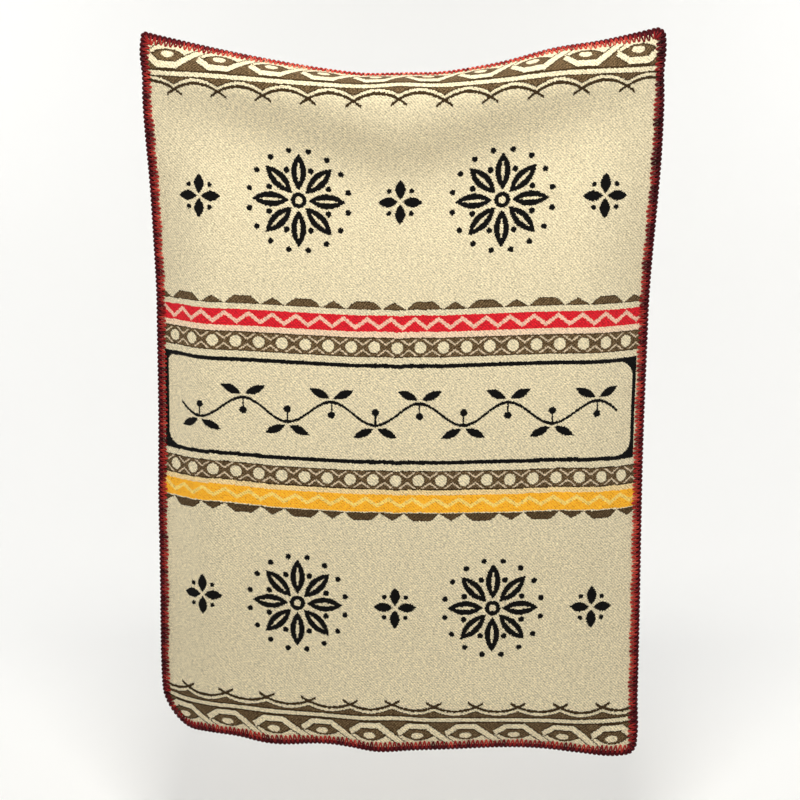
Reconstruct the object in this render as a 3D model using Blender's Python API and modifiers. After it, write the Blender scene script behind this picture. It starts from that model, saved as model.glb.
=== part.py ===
"""A wool blanket hanging by its two top corners: the woven cloth, and the yarn worked round its edge.

Flat places are given as a, across the cloth from its left edge, and b, down it from its top edge,
as someone in front sees them. The front faces -Y, and the origin is the middle of the top edge.
"""

import math

import bmesh
import bpy
import numpy as np

# Driving sizes, in metres, and angles in degrees
WIDTH = 0.802
LENGTH = 1.141
CLOTH_THICK = 0.003
CORNER_RADII = {"top_left": 0.006, "top_right": 0.013, "bottom_left": 0.058, "bottom_right": 0.013}

# The yarn edging lies over both faces of the cloth, and round its edge
EDGING_DEPTH = 0.0135
EDGING_THICK = 0.0015
GAP = 0.0003
NOSE_GAP = 0.0008
NOSE_SIDE = 0.0016

# How the cloth hangs. The shares across run from -1 at the left edge to 1 at the right one.
TOP_SAG = 0.0715
SAG_POWER_LEFT = 1.42
SAG_POWER_RIGHT = 1.33
TOP_RISE_RIGHT = 0.003
TOP_SET_BACK = 0.026
PUCKER_RISE = 0.005
PUCKER_WIDTH = 0.1
BIAS_DROP = 0.016
BIAS_LEAN = -0.015

# The top border rolls back between the corners, and the cloth under it falls back to hang plumb
ROLL_ANGLE = 80.5
ROLL_POWER = 5.0
ROLL_FLAT_TO = 0.035
ROLL_ENDS_AT = 0.085
UNDER_ANGLE = 30.0
UNDER_POWER = 5.4
UNDER_AT = 0.163
UNDER_REACH = 0.07
UNDER_RISE = 0.62

# The side edges turn away from the viewer, more at the left one, and level out where the yarn is
EDGE_TURN_LEFT = 0.054
EDGE_TURN_RIGHT = 0.043
EDGE_TURN_FROM = 0.7
EDGE_TURN_EASE = 0.66
EDGE_TURN_FULL = 0.38
EDGE_TURN_LOW = 0.55
LOW_LEFT_CURL = 0.038
RIDGE_DEPTH = 0.003
RIDGE_AT = 0.47
RIDGE_WIDTH = 0.2
MIDDLE_SET_BACK = -0.012

# The hem swings back a little, with folds: how far across, how wide, and the angle each adds
HEM_ANGLE = -13.0
HEM_FOLDS = (
    (-0.51, 0.12, 12.0),
    (-0.28, 0.10, -3.0),
    (-0.03, 0.10, 14.0),
    (0.50, 0.25, -9.0),
    (0.97, 0.14, 26.0),
)
HEM_FROM = 0.11
HEM_FULL = 0.03

# The grid of the cloth's faces: close lines near the edges, wider ones in the middle
NEAR_EDGE_STEP = 0.016
NEAR_SIDE_LINES = 5
NEAR_TOP_LINES = 8
NEAR_HEM_LINES = 5
MIDDLE_STEP = 0.029
TABLE_STEP = 0.0025
STEEPEST = 0.985

CLOTH_COLOUR = (0.69, 0.62, 0.44, 1.0)
YARN_COLOUR = (0.30, 0.020, 0.016, 1.0)


def smooth(value, low, high):
    """0 below low and 1 above high, with a soft start and end."""
    share = np.clip((value - low) / (high - low), 0.0, 1.0)
    return share * share * (3.0 - 2.0 * share)


def bump(value, middle, width):
    return np.exp(-(((value - middle) / width) ** 2))


def fall_angles(across, down):
    """The sine of the cloth's tilt towards the viewer as it runs down, without the side turns."""
    roll = np.radians(ROLL_ANGLE) * (1.0 - np.abs(across) ** ROLL_POWER)
    roll = roll * (1.0 - smooth(down, ROLL_FLAT_TO, ROLL_ENDS_AT))
    under_line = UNDER_AT * (1.0 - UNDER_RISE * np.abs(across))
    under = np.radians(UNDER_ANGLE) * (1.0 - np.abs(across) ** UNDER_POWER)
    under = under * bump(down, under_line, UNDER_REACH)
    hem = HEM_ANGLE + sum(angle * bump(across, at, width) for at, width, angle in HEM_FOLDS)
    swing = smooth(down, LENGTH - HEM_FROM, LENGTH - HEM_FULL)
    return np.sin(roll) - np.sin(under) + np.sin(np.radians(hem)) * swing


def side_turns(across, down):
    """How far the cloth stands towards the viewer, from its side edges, ridges and low corner."""
    share = down / LENGTH
    turn = np.where(across < 0.0, EDGE_TURN_LEFT, EDGE_TURN_RIGHT)
    reach = np.clip((np.abs(across) - EDGE_TURN_FROM) / (1.0 - EDGE_TURN_FROM), 0.0, 1.0)
    turn = turn * reach**2 * (1.0 - EDGE_TURN_EASE * reach) / (1.0 - EDGE_TURN_EASE)
    turn = turn * smooth(share, 0.02, EDGE_TURN_FULL)
    turn = turn * (1.0 + (EDGE_TURN_LOW - 1.0) * smooth(share, 0.5, 1.0))
    ridge = RIDGE_DEPTH * smooth(share, 0.05, 0.3) * bump(np.abs(across), RIDGE_AT, RIDGE_WIDTH)
    middle = MIDDLE_SET_BACK * smooth(share, 0.1, 1.0) * (1.0 - across**2)
    curl = LOW_LEFT_CURL * smooth(share, 0.75, 1.0) * np.clip(-across, 0.0, 1.0) ** 2
    return ridge - turn - middle - curl


def top_edge(across):
    """The height of the top edge: a sag between the corners, with a pucker in its middle."""
    power = np.where(across < 0.0, SAG_POWER_LEFT, SAG_POWER_RIGHT)
    sag = TOP_SAG * (1.0 - np.abs(across) ** power)
    return PUCKER_RISE * bump(across, 0.0, PUCKER_WIDTH) + TOP_RISE_RIGHT * across - sag


def hang():
    """The places of the hanging cloth in a table over its flat sizes, neither stretched nor pressed."""
    columns = 2 * round(WIDTH / TABLE_STEP / 2)
    rows = round(LENGTH / TABLE_STEP)
    across, down = np.meshgrid(
        np.linspace(-1.0, 1.0, columns + 1), np.linspace(0.0, LENGTH, rows + 1), indexing="ij"
    )
    step_a = WIDTH / columns
    step_b = LENGTH / rows
    turns = side_turns(across, down)
    slope = fall_angles(across, down) + np.gradient(turns, step_b, axis=1)
    slope = np.clip(slope, -STEEPEST, STEEPEST)
    slope = (slope[:, 1:] + slope[:, :-1]) / 2.0
    forward = np.zeros_like(down)
    forward[:, 1:] = np.cumsum(slope, axis=1) * step_b
    forward = forward + turns[:, :1] - TOP_SET_BACK * (1.0 - across[:, :1] ** 2)
    height = np.zeros_like(down)
    height[:, 1:] = -np.cumsum(np.sqrt(1.0 - slope**2), axis=1) * step_b
    height = height + top_edge(across[:, :1]) - BIAS_DROP * across * down / LENGTH
    run = 1.0 - (np.diff(forward, axis=0) / step_a) ** 2 - (np.diff(height, axis=0) / step_a) ** 2
    side = np.zeros_like(down)
    side[1:] = np.cumsum(np.sqrt(np.clip(run, 1.0 - STEEPEST, 1.0)), axis=0) * step_a
    side = side - side[columns // 2] + BIAS_LEAN * down / LENGTH
    places = np.stack([side, -forward, height], axis=-1)
    return places - places[columns // 2, 0]


TABLE = hang()


def cloth_place(a, b):
    """The point of the cloth's middle surface at flat a and b."""
    size_a, size_b = TABLE.shape[0] - 1, TABLE.shape[1] - 1
    x = min(max(a / WIDTH * size_a, 0.0), size_a - 1e-6)
    y = min(max(b / LENGTH * size_b, 0.0), size_b - 1e-6)
    i, j = int(x), int(y)
    u, v = x - i, y - j
    top = TABLE[i, j] * (1.0 - u) + TABLE[i + 1, j] * u
    low = TABLE[i, j + 1] * (1.0 - u) + TABLE[i + 1, j + 1] * u
    return top * (1.0 - v) + low * v


def cloth_point(a, b, out=0.0):
    """The point at flat a and b, standing out from the middle surface towards the front."""
    reach = 2.0 * TABLE_STEP
    left, right = max(a - reach, 0.0), min(a + reach, WIDTH)
    high, low = max(b - reach, 0.0), min(b + reach, LENGTH)
    along = cloth_place(right, b) - cloth_place(left, b)
    fall = cloth_place(a, low) - cloth_place(a, high)
    front = np.cross(fall, along)
    return cloth_place(a, b) + front * (out / np.linalg.norm(front))


def round_corners(a, b):
    """Draws a flat place near a corner in, onto an arc that is as far from the round edge."""
    right, low = a > WIDTH / 2, b > LENGTH / 2
    radius = CORNER_RADII[("bottom" if low else "top") + ("_right" if right else "_left")]
    in_a = WIDTH - a if right else a
    in_b = LENGTH - b if low else b
    if in_a < radius and in_b < radius:
        reach = radius - min(in_a, in_b)
        angle = math.pi / 4.0 * (radius - max(in_a, in_b)) / reach
        near, far = radius - reach * math.cos(angle), radius - reach * math.sin(angle)
        in_a, in_b = (near, far) if in_a < in_b else (far, near)
    return (WIDTH - in_a if right else in_a), (LENGTH - in_b if low else in_b)


def grid_lines(size, first_lines, last_lines):
    """Places of the grid's lines inside the edging's inner line, across or down the cloth."""
    first = [EDGING_DEPTH + NEAR_EDGE_STEP * i for i in range(first_lines)]
    last = [size - EDGING_DEPTH - NEAR_EDGE_STEP * i for i in range(last_lines)]
    between = round((last[-1] - first[-1]) / MIDDLE_STEP)
    middle = [first[-1] + (last[-1] - first[-1]) * i / between for i in range(1, between)]
    return first + middle + last[::-1]


LINES_A = grid_lines(WIDTH, NEAR_SIDE_LINES, NEAR_SIDE_LINES)
LINES_B = grid_lines(LENGTH, NEAR_TOP_LINES, NEAR_HEM_LINES)


def make_material(name, colour, roughness):
    material = bpy.data.materials.new(name)
    material.use_nodes = True
    shader = material.node_tree.nodes["Principled BSDF"]
    shader.inputs["Base Color"].default_value = colour
    shader.inputs["Roughness"].default_value = roughness
    shader.inputs["Metallic"].default_value = 0.0
    material.diffuse_color = colour
    return material


def make_object(name, bm, thickness, material, collection):
    """An object of an open surface, thickened evenly to both sides of it."""
    mesh = bpy.data.meshes.new(name)
    bm.to_mesh(mesh)
    bm.free()
    mesh.shade_smooth()
    obj = bpy.data.objects.new(name, mesh)
    obj.data.materials.append(material)
    collection.objects.link(obj)
    shell = obj.modifiers.new("thickness", "SOLIDIFY")
    shell.thickness = thickness
    shell.offset = 0.0
    shell.use_even_offset = True
    return obj


def unit_grid(columns, rows):
    """A flat grid, with each vertex's column and row, counted from its upper left corner."""
    bm = bmesh.new()
    bmesh.ops.create_grid(bm, x_segments=columns, y_segments=rows, size=1.0)
    cells = {v: (round((v.co.x + 1.0) / 2.0 * columns), round((1.0 - v.co.y) / 2.0 * rows)) for v in bm.verts}
    return bm, cells


def split_faces(bm, other_way):
    """Cuts the four-sided faces in two, with the other diagonal on the faces in other_way."""
    plain = [face for face in bm.faces if face not in other_way]
    bmesh.ops.triangulate(bm, faces=plain, quad_method="FIXED")
    bmesh.ops.triangulate(bm, faces=list(other_way), quad_method="ALTERNATE")


def make_cloth(collection):
    """The woven cloth, which ends a little inside the yarn that wraps its edge."""
    edge = EDGING_THICK + NOSE_GAP
    lines_a = [edge] + LINES_A + [WIDTH - edge]
    lines_b = [edge] + LINES_B + [LENGTH - edge]
    columns, rows = len(lines_a) - 1, len(lines_b) - 1
    bm, cells = unit_grid(columns, rows)
    corners = set()
    for face in bm.faces:
        i = min(cells[v][0] for v in face.verts)
        j = min(cells[v][1] for v in face.verts)
        if (i, j) in ((0, 0), (columns - 1, rows - 1)):
            corners.add(face)
    for vertex, (i, j) in cells.items():
        vertex.co = cloth_point(*round_corners(lines_a[i], lines_b[j]))
    split_faces(bm, corners)
    material = make_material("cream_wool", CLOTH_COLOUR, 0.95)
    return make_object("blanket", bm, CLOTH_THICK, material, collection)


def edge_stations():
    """Round the edge from the top left corner: the outer flat place, the inner one, and the side."""
    stations = []
    inner_a = [LINES_A[0]] + LINES_A + [LINES_A[-1]]
    inner_b = [LINES_B[0]] + LINES_B + [LINES_B[-1]]
    outer_a = [0.0] + LINES_A + [WIDTH]
    outer_b = [0.0] + LINES_B + [LENGTH]
    for outer, inner in zip(outer_a[:-1], inner_a[:-1]):
        stations.append(((outer, 0.0), (inner, inner_b[0]), "top"))
    for outer, inner in zip(outer_b[:-1], inner_b[:-1]):
        stations.append(((WIDTH, outer), (inner_a[-1], inner), "right"))
    for outer, inner in zip(outer_a[:0:-1], inner_a[:0:-1]):
        stations.append(((outer, LENGTH), (inner, inner_b[-1]), "bottom"))
    for outer, inner in zip(outer_b[:0:-1], inner_b[:0:-1]):
        stations.append(((0.0, outer), (inner_a[0], inner), "left"))
    return stations


def edging_section():
    """The middle line of the yarn layer in section: how far in from the edge, and how far out."""
    half = EDGING_THICK / 2.0
    face = CLOTH_THICK / 2.0 + GAP + half
    front = [(EDGING_DEPTH, face), (2.0 * half, face), (half, NOSE_SIDE)]
    back = [(depth, -out) for depth, out in front[::-1]]
    return front + back


def make_edging(collection):
    """The yarn stitched over the edge, as one layer that wraps it all the way round."""
    stations = edge_stations()
    section = edging_section()
    bm, cells = unit_grid(len(stations), len(section) - 1)
    back_leg = len(section) - 2
    other_way = set()
    for face in bm.faces:
        station = min(cells[v][0] for v in face.verts)
        row = min(cells[v][1] for v in face.verts)
        level = stations[station][2] in ("top", "bottom")
        if level != (row == back_leg):
            other_way.add(face)
    for vertex, (k, row) in cells.items():
        outer, inner, _ = stations[k % len(stations)]
        depth, out = section[row]
        share = depth / EDGING_DEPTH
        a = outer[0] + (inner[0] - outer[0]) * share
        b = outer[1] + (inner[1] - outer[1]) * share
        vertex.co = cloth_point(*round_corners(a, b), out)
    split_faces(bm, other_way)
    bmesh.ops.remove_doubles(bm, verts=bm.verts, dist=1e-6)
    material = make_material("red_yarn", YARN_COLOUR, 0.85)
    return make_object("edging", bm, EDGING_THICK, material, collection)


def main():
    for obj in list(bpy.data.objects):
        bpy.data.objects.remove(obj, do_unlink=True)
    collection = bpy.data.collections.new("wool_blanket")
    bpy.context.scene.collection.children.link(collection)
    make_cloth(collection)
    make_edging(collection)


main()
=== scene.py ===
"""The looks of a wool blanket that hangs by its two top corners: woven bands, and a yarn edging.

Flat places are given as a, across the cloth from its left edge, and b, down it from its top edge,
in metres, as someone in front sees them. The front faces -Y, and +Z is up.
"""

import math

import bpy
import numpy as np
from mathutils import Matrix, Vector


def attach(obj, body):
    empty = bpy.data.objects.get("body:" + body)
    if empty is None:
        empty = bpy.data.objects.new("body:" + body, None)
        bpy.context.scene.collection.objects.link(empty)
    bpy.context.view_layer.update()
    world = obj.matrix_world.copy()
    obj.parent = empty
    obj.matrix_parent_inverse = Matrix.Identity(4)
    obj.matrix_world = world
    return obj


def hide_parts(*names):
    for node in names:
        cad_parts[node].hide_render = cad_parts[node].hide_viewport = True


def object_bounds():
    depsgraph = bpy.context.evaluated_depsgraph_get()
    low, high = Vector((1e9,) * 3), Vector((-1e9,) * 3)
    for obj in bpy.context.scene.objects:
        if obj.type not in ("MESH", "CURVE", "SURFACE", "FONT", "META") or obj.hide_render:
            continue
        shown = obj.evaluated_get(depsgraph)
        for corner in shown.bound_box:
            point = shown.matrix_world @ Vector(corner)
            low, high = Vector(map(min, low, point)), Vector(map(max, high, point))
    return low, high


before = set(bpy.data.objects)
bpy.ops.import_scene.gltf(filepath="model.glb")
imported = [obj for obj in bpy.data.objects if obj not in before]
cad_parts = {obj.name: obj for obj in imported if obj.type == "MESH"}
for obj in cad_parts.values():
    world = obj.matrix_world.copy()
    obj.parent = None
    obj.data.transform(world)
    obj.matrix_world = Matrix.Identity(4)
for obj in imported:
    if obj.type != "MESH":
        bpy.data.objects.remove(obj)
cad_low, cad_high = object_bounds()

# The cloth's sizes, and how it hangs, with the values that the solids are made from. The corners are
# in clockwise order
WIDTH = 0.802
LENGTH = 1.141
CLOTH_THICK = 0.003
CORNER_RADII = {"top_left": 0.006, "top_right": 0.013, "bottom_right": 0.013, "bottom_left": 0.058}
EDGING_DEPTH = 0.0135
EDGING_THICK = 0.0015
NOSE_GAP = 0.0008
TOP_SAG = 0.0715
SAG_POWER_LEFT = 1.42
SAG_POWER_RIGHT = 1.33
TOP_RISE_RIGHT = 0.003
TOP_SET_BACK = 0.026
PUCKER_RISE = 0.005
PUCKER_WIDTH = 0.1
BIAS_DROP = 0.016
BIAS_LEAN = -0.015
ROLL_ANGLE = 80.5
ROLL_POWER = 5.0
ROLL_FLAT_TO = 0.035
ROLL_ENDS_AT = 0.085
UNDER_ANGLE = 30.0
UNDER_POWER = 5.4
UNDER_AT = 0.163
UNDER_REACH = 0.07
UNDER_RISE = 0.62
EDGE_TURN_LEFT = 0.054
EDGE_TURN_RIGHT = 0.043
EDGE_TURN_FROM = 0.7
EDGE_TURN_EASE = 0.66
EDGE_TURN_FULL = 0.38
EDGE_TURN_LOW = 0.55
EDGE_TURN_STARTS = 0.02
EDGE_TURN_EASES = (0.5, 1.0)
LOW_LEFT_CURL = 0.038
CURL_RUN = (0.75, 1.0)
RIDGE_DEPTH = 0.003
RIDGE_RUN = (0.05, 0.3)
RIDGE_AT = 0.47
RIDGE_WIDTH = 0.2
MIDDLE_SET_BACK = -0.012
MIDDLE_RUN = (0.1, 1.0)
HEM_ANGLE = -13.0
HEM_FOLDS = (
    (-0.51, 0.12, 12.0),
    (-0.28, 0.10, -3.0),
    (-0.03, 0.10, 14.0),
    (0.50, 0.25, -9.0),
    (0.97, 0.14, 26.0),
)
HEM_FROM = 0.11
HEM_FULL = 0.03

# Small shifts of the visible cloth: across, share down, reach across, reach down, to the right, up
SMALL_SHIFTS = (
    (-1.0, 0.19, 0.30, 0.10, 0.0070, 0.0),
    (-1.0, 0.79, 0.30, 0.11, 0.0070, 0.0),
    (-0.93, 1.0, 0.13, 0.07, 0.0, -0.0080),
    (0.58, 0.0, 0.14, 0.06, 0.0, 0.0055),
)

# The steps of the table that holds the hanging cloth, and the steepest slope in it
TABLE_STEP = 0.0025
STEEPEST = 0.985

# The camera, and the size of its image in pixels
IMAGE_SIZE = 800
FOCAL_PIXELS = 1447.8
CAMERA_DISTANCE = 2.3
CAMERA_PITCH = 9.21
CAMERA_YAW = 1.504
CAMERA_AIM = (-0.0038, 0.0, -0.5046)
SENSOR = 36.0

# The finer grid of the visible cloth
CLOTH_COLUMNS = 148
CLOTH_ROWS = 208

# The woven cells, and the line that the middle bands mirror. In the patterns, e is measured from the
# nearer end of the cloth and m from the middle line; t and y lie about the middle of each figure
CELL = 0.0013
MIDDLE_LINE = 0.5784

# How the woven rows bend: at the middle and the left edge of the upper rows, and in the lower ones.
# A fade has its slope away from a row, and its value at that row
BOW_MIDDLE = 0.0042
BOW_EDGE = 0.0036
BOW_REACH = 0.060
BOW_ROW = 0.440
BOW_FADE = (-7.0, 1.6)
LIFT_ROW = 0.820
LIFT_FADE = (-9.0, 2.3)
LIFT = 0.0026
LEFT_WAVE_AT = 0.110
LEFT_WAVE = 0.0050
RIGHT_WAVE_AT = 0.680
RIGHT_WAVE = 0.0030
WAVE_REACH = 0.090

# The rope along each end, with an eyelet in each turn
ROPE_FROM = 0.027
ROPE_TO = 0.0545
ROPE_LINE_FROM = 0.0520
ROPE_FILL_FROM = 0.0285
ROPE_OUTLINE = 0.0024
ROPE_ARM_ROW = 0.0445
ROPE_ARM_FROM = -0.0300
ROPE_ARM_SLANT = 0.6
ROPE_ARM_HALF = 0.0061
ROPE_ARM_PINCH = 0.0011
ROPE_PINCH_REACH = 0.0155
ROPE_CROSSING_HALVES = (0.0080, 0.0057)
ROPE_TURN_LEFT = -0.014
ROPE_TURN_RIGHT = 0.015
ROPE_RISE = 0.75
ROPE_FALL = 0.80
EYELET_FIRST = 0.0435
EYELET_PITCH = 0.0795
EYELET_HALVES = (0.0098, 0.0054)
EYE_SHIFT = 0.002
EYE_HALVES = (0.0265, 0.0092)
EYE_INNER_HALVES = (0.0225, 0.0074)

# The crossed scallops inside the rope
SCALLOP_LINE_FROM = 0.0605
SCALLOP_FIRST = 0.0552
SCALLOP_PITCH = 0.0686
SCALLOP_CROSS = 0.0805
SCALLOP_RISE = 0.0102
LOW_SCALLOP_RISE = 0.0078
SCALLOP_LINE = 0.0024
SCALLOP_TAIL = 0.0125
SCALLOP_FILL_GAPS = (0.0066, 0.0082)

# The humps and triangles outside the coloured bands
HUMP_FIRST = 0.0115
HUMP_PITCH = 0.0956
HUMP_ROW = 0.1613
HUMP_ROW_RISE = 0.0059
HUMP_LINE = 0.0014
HUMP_HALF = 0.0285
HUMP_RISE = 0.0165
HUMP_TOP = 0.0130
LOW_HUMP_FILL = 0.55
TRIANGLE_HALF = 0.0205
TRIANGLE_RISE = 0.0125

# The coloured bands. A zigzag has the height of its peaks, below 0 towards the middle, and its foot
BAND_FROM = 0.1233
RED_BAND = (0.1327, 0.1585)
YELLOW_BAND = (0.1313, 0.1598)
ZIGZAG_FIRST = 0.0150
ZIGZAG_PITCH = 0.0374
RED_ZIGZAG = (-0.0140, 0.1528)
RED_ZIGZAG_HALF = 0.0035
YELLOW_ZIGZAG = (0.0115, 0.1385)
YELLOW_ZIGZAG_HALF = 0.0033

# The rows of beads, and the thin chevrons between the beads
BEAD_FIRST = 0.0352
BEAD_PITCH = 0.03643
BEAD_ROW = 0.1078
BEAD_HALF = 0.0156
BEAD_RADIUS = 0.0091
BEAD_LINE = 0.0019
CHEVRON_SLOPE = 0.72
CHEVRON_FROM = 0.0042
CHEVRON_TO = 0.0132
CHEVRON_HALF = 0.0014

# The black frame round the middle panel
FRAME_HALF = 0.0820
FRAME_LINE = 0.0070
FRAME_LEFT = 0.0135
FRAME_RIGHT = 0.0165
FRAME_ROUND = 0.024
FRAME_SHARP = 0.011

# The black motifs: rosettes and small flowers by turns in both fields, and a vine in the panel.
# A petal has its middle's distance from the centre, its half length and its half width
FIELD_ROW = 0.245
FIELD_FIRST = 0.401
FIELD_PITCH = 0.316
ROSETTE_HALF = 0.090
PETAL = (0.044, 0.029, 0.0118)
PETAL_SLIT = (0.044, 0.017, 0.0024)
CENTRE_RING = (0.0055, 0.0125)
DOT_RING = 0.050
DOT_RADIUS = 0.0048
OUTER_RING = 0.0785
OUTER_DOT_RADIUS = 0.0046
FLOWER_PETAL = (0.0190, 0.0155, 0.0080)
FLOWER_DOT_AT = 0.0172
FLOWER_DOT_RADIUS = 0.0040
VINE_FIRST = 0.051
VINE_WAVE = 0.14
VINE_LAST = 0.751
VINE_RISE = 0.018
VINE_MARGIN = 0.002
STEM_HALF = 0.0026
STALK_HALF = 0.0014
LEAF_AT = (0.019, 0.031)
LEAF_LEAN = (0.906, 0.423)
LEAF_HALVES = (0.0175, 0.0066)
BERRY_RADIUS = 0.0060
BERRY_DROP = 0.003

# The yarn: each stitch is a pair of legs on the front and on the back, joined by a knot on the edge.
# A wave has its size, its turn from one stitch to the next, and its start
STITCH = 0.0073
WRAP_PER_STITCH = 2
LEG_RADIUS = 0.00118
LEG_SIDES = 6
LEG_FEET = (0.05, 0.95)
LEG_TIPS = (0.42, 0.58)
LEG_FROM = 0.0040
LEG_TO = 0.0160
LEG_WAVES = ((0.0009, 1.7, 0.0), (0.0008, 0.61, 1.0))
KNOT_SIZE = (0.0043, 0.0034, 0.0043)
KNOT_DEPTH = 0.0020
KNOT_LEAN = (0.88, 0.48)
KNOT_END = 0.35
KNOT_AHEAD = 0.25
KNOT_INWARD = 0.0060
KNOT_RINGS = 6
KNOT_SIDES = 8

# The wool's surface. Noise scales are in steps a metre, across and down where there are two
WEFT_PITCH = 0.0036
STREAK_PITCH = 0.0036
DIAGONAL = 0.707
ROUGH_SCALE = 480.0
ROUGH_SHIFT = 0.0036
THREAD_SCALE = (330.0, 620.0, 1.0)
GRAIN_SCALE = (210.0, 480.0, 1.0)
PATCH_SCALE = 26.0
FUZZ_SCALE = 1300.0
FIBRE_SCALE = 900.0
FLECK_FROM = 0.53
FLECK_GAIN = 3.2
FLECK_MOST = 0.70
FLECK_PATCHES = 0.35
TWILL_WANDER = 0.55
STREAK_WANDER = 2.4
GRAIN_SHADE = (1.30, 0.38)
DOT_SHADE = 0.46
PATCH_SHADE = 0.20
TWILL_SHADE = 0.85
TWILL_BUMP = 0.8
CLOTH_BUMP = (0.0006, 0.55)
YARN_BUMP = (0.0005, 0.6)
FIBRE_TONE = 0.40
CLOTH_ROUGHNESS = 0.95
YARN_ROUGHNESS = 0.90
STAGE_ROUGHNESS = 0.9
WOOL_SPECULAR = 0.08
WOOL_SHEEN = 0.04
SHEEN_ROUGHNESS = 0.5

# Colours of the wool, as shares of light sent back
CREAM = (0.72, 0.628, 0.428)
LIGHT_BROWN = (0.250, 0.162, 0.080)
DARK_BROWN = (0.044, 0.026, 0.011)
BLACK = (0.0045, 0.0042, 0.0040)
RED = (0.62, 0.016, 0.026)
PINK = (0.78, 0.47, 0.35)
PINK_CREAM = (0.78, 0.58, 0.41)
YELLOW = (0.92, 0.435, 0.030)
PALE_YELLOW = (0.88, 0.61, 0.155)
PEACH = (0.80, 0.60, 0.30)
CHEVRON = (0.62, 0.50, 0.34)
FLECK = (0.36, 0.30, 0.19)

# The yarn's colours from its darkest tone to its brightest, and its tone along the way round the
# edge, as shares of that way clockwise from the top left corner. That tone is partly the yarn's own
# runs of maroon and red, and partly painted light: it is raised along the top edge, where the yarn
# faces up to the light
YARN_TONES = (
    (0.0, (0.022, 0.003, 0.004)),
    (0.25, (0.095, 0.007, 0.011)),
    (0.50, (0.32, 0.018, 0.018)),
    (0.75, (0.62, 0.060, 0.040)),
    (1.0, (0.82, 0.28, 0.18)),
)
# Painted light: the high tones from 0.05 to 0.185, along the top edge, stand for the light on yarn that
# faces up
TONE_AND_LIGHT_RUNS = (
    (0.0, 0.34),
    (0.05, 0.62),
    (0.12, 0.55),
    (0.185, 0.60),
    (0.205, 0.22),
    (0.27, 0.25),
    (0.33, 0.42),
    (0.42, 0.56),
    (0.49, 0.36),
    (0.55, 0.38),
    (0.66, 0.38),
    (0.705, 0.27),
    (0.80, 0.35),
    (0.93, 0.42),
    (1.0, 0.34),
)

# Half of the sleeve's section: how deep in from the edge, and how far out from the cloth's middle
WRAP_SECTION = (
    (0.0078, 0.0016),
    (0.0068, 0.0024),
    (0.0035, 0.0027),
    (0.0012, 0.0016),
    (0.0008, 0.0),
)

# Along a leg from its foot: the share of its run, how far it stands off the cloth, and its swell
LEG_PATH = (
    (0.0, 0.0018, 0.85),
    (0.3, 0.0024, 1.15),
    (0.65, 0.0020, 1.1),
    (0.9, 0.0009, 0.8),
    (1.0, 0.0, 0.45),
)

# The tones of the yarn's parts, from 0 to 1
TONE_WAVES = ((0.10, 0.83, 0.0), (0.08, 2.31, 1.0))
WRAP_TONE = 0.16
LEG_TONE_SPREAD = 0.26
LEG_TONE_DROP = 0.20
LEG_TONE_RISE = 0.26
KNOT_TONE_SHARE = 0.42
KNOT_TONE_BASE = 0.02

# The stage and its lights: places, aims and sizes in metres, and powers in watts
STAGE_COLOUR = (0.90, 0.90, 0.89)
STAGE_DROP = 0.2
STAGE_BACK = 2.4
STAGE_SWEEP = 0.9
STAGE_TURN = 7.5
STAGE_HALF = 6.0
STAGE_FRONT = -5.0
STAGE_HIGH = 5.0
SKY_STRENGTH = 0.24
WARM_WHITE = (1.0, 0.985, 0.93)
PLAIN_WHITE = (1.0, 1.0, 1.0)
KEY_LIGHT = ((0.0, -1.0, 0.95), (0.0, 0.0, -0.25), (0.6, 0.3), 24.6)
LOW_LIGHT = ((0.0, -1.0, -0.35), (0.0, 0.0, -0.40), (0.5, 0.3), 0.8)
LEFT_LIGHT = ((-2.3, 0.5, 0.9), (-0.4, 2.4, -0.7), (1.5, 1.5), 37.0)
RIGHT_LIGHT = ((2.3, 0.5, 0.9), (0.4, 2.4, -0.7), (1.5, 1.5), 37.0)


def smooth(value, low, high):
    """0 below low and 1 above high, with a soft start and end."""
    share = np.clip((value - low) / (high - low), 0.0, 1.0)
    return share * share * (3.0 - 2.0 * share)


def bump(value, middle, width):
    return np.exp(-(((value - middle) / width) ** 2))


def unit(vectors):
    return vectors / np.linalg.norm(vectors, axis=-1, keepdims=True)


def fall_angles(across, down):
    """The sine of the cloth's tilt towards the viewer as it runs down, without the side turns."""
    roll = np.radians(ROLL_ANGLE) * (1.0 - np.abs(across) ** ROLL_POWER)
    roll = roll * (1.0 - smooth(down, ROLL_FLAT_TO, ROLL_ENDS_AT))
    under_line = UNDER_AT * (1.0 - UNDER_RISE * np.abs(across))
    under = np.radians(UNDER_ANGLE) * (1.0 - np.abs(across) ** UNDER_POWER)
    under = under * bump(down, under_line, UNDER_REACH)
    hem = HEM_ANGLE + sum(angle * bump(across, at, width) for at, width, angle in HEM_FOLDS)
    swing = smooth(down, LENGTH - HEM_FROM, LENGTH - HEM_FULL)
    return np.sin(roll) - np.sin(under) + np.sin(np.radians(hem)) * swing


def side_turns(across, down):
    """How far the cloth stands towards the viewer, from its side edges, ridges and low corner."""
    share = down / LENGTH
    turn = np.where(across < 0.0, EDGE_TURN_LEFT, EDGE_TURN_RIGHT)
    reach = np.clip((np.abs(across) - EDGE_TURN_FROM) / (1.0 - EDGE_TURN_FROM), 0.0, 1.0)
    turn = turn * reach**2 * (1.0 - EDGE_TURN_EASE * reach) / (1.0 - EDGE_TURN_EASE)
    turn = turn * smooth(share, EDGE_TURN_STARTS, EDGE_TURN_FULL)
    turn = turn * (1.0 + (EDGE_TURN_LOW - 1.0) * smooth(share, *EDGE_TURN_EASES))
    ridge = RIDGE_DEPTH * smooth(share, *RIDGE_RUN) * bump(np.abs(across), RIDGE_AT, RIDGE_WIDTH)
    middle = MIDDLE_SET_BACK * smooth(share, *MIDDLE_RUN) * (1.0 - across**2)
    curl = LOW_LEFT_CURL * smooth(share, *CURL_RUN) * np.clip(-across, 0.0, 1.0) ** 2
    return ridge - turn - middle - curl


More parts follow.
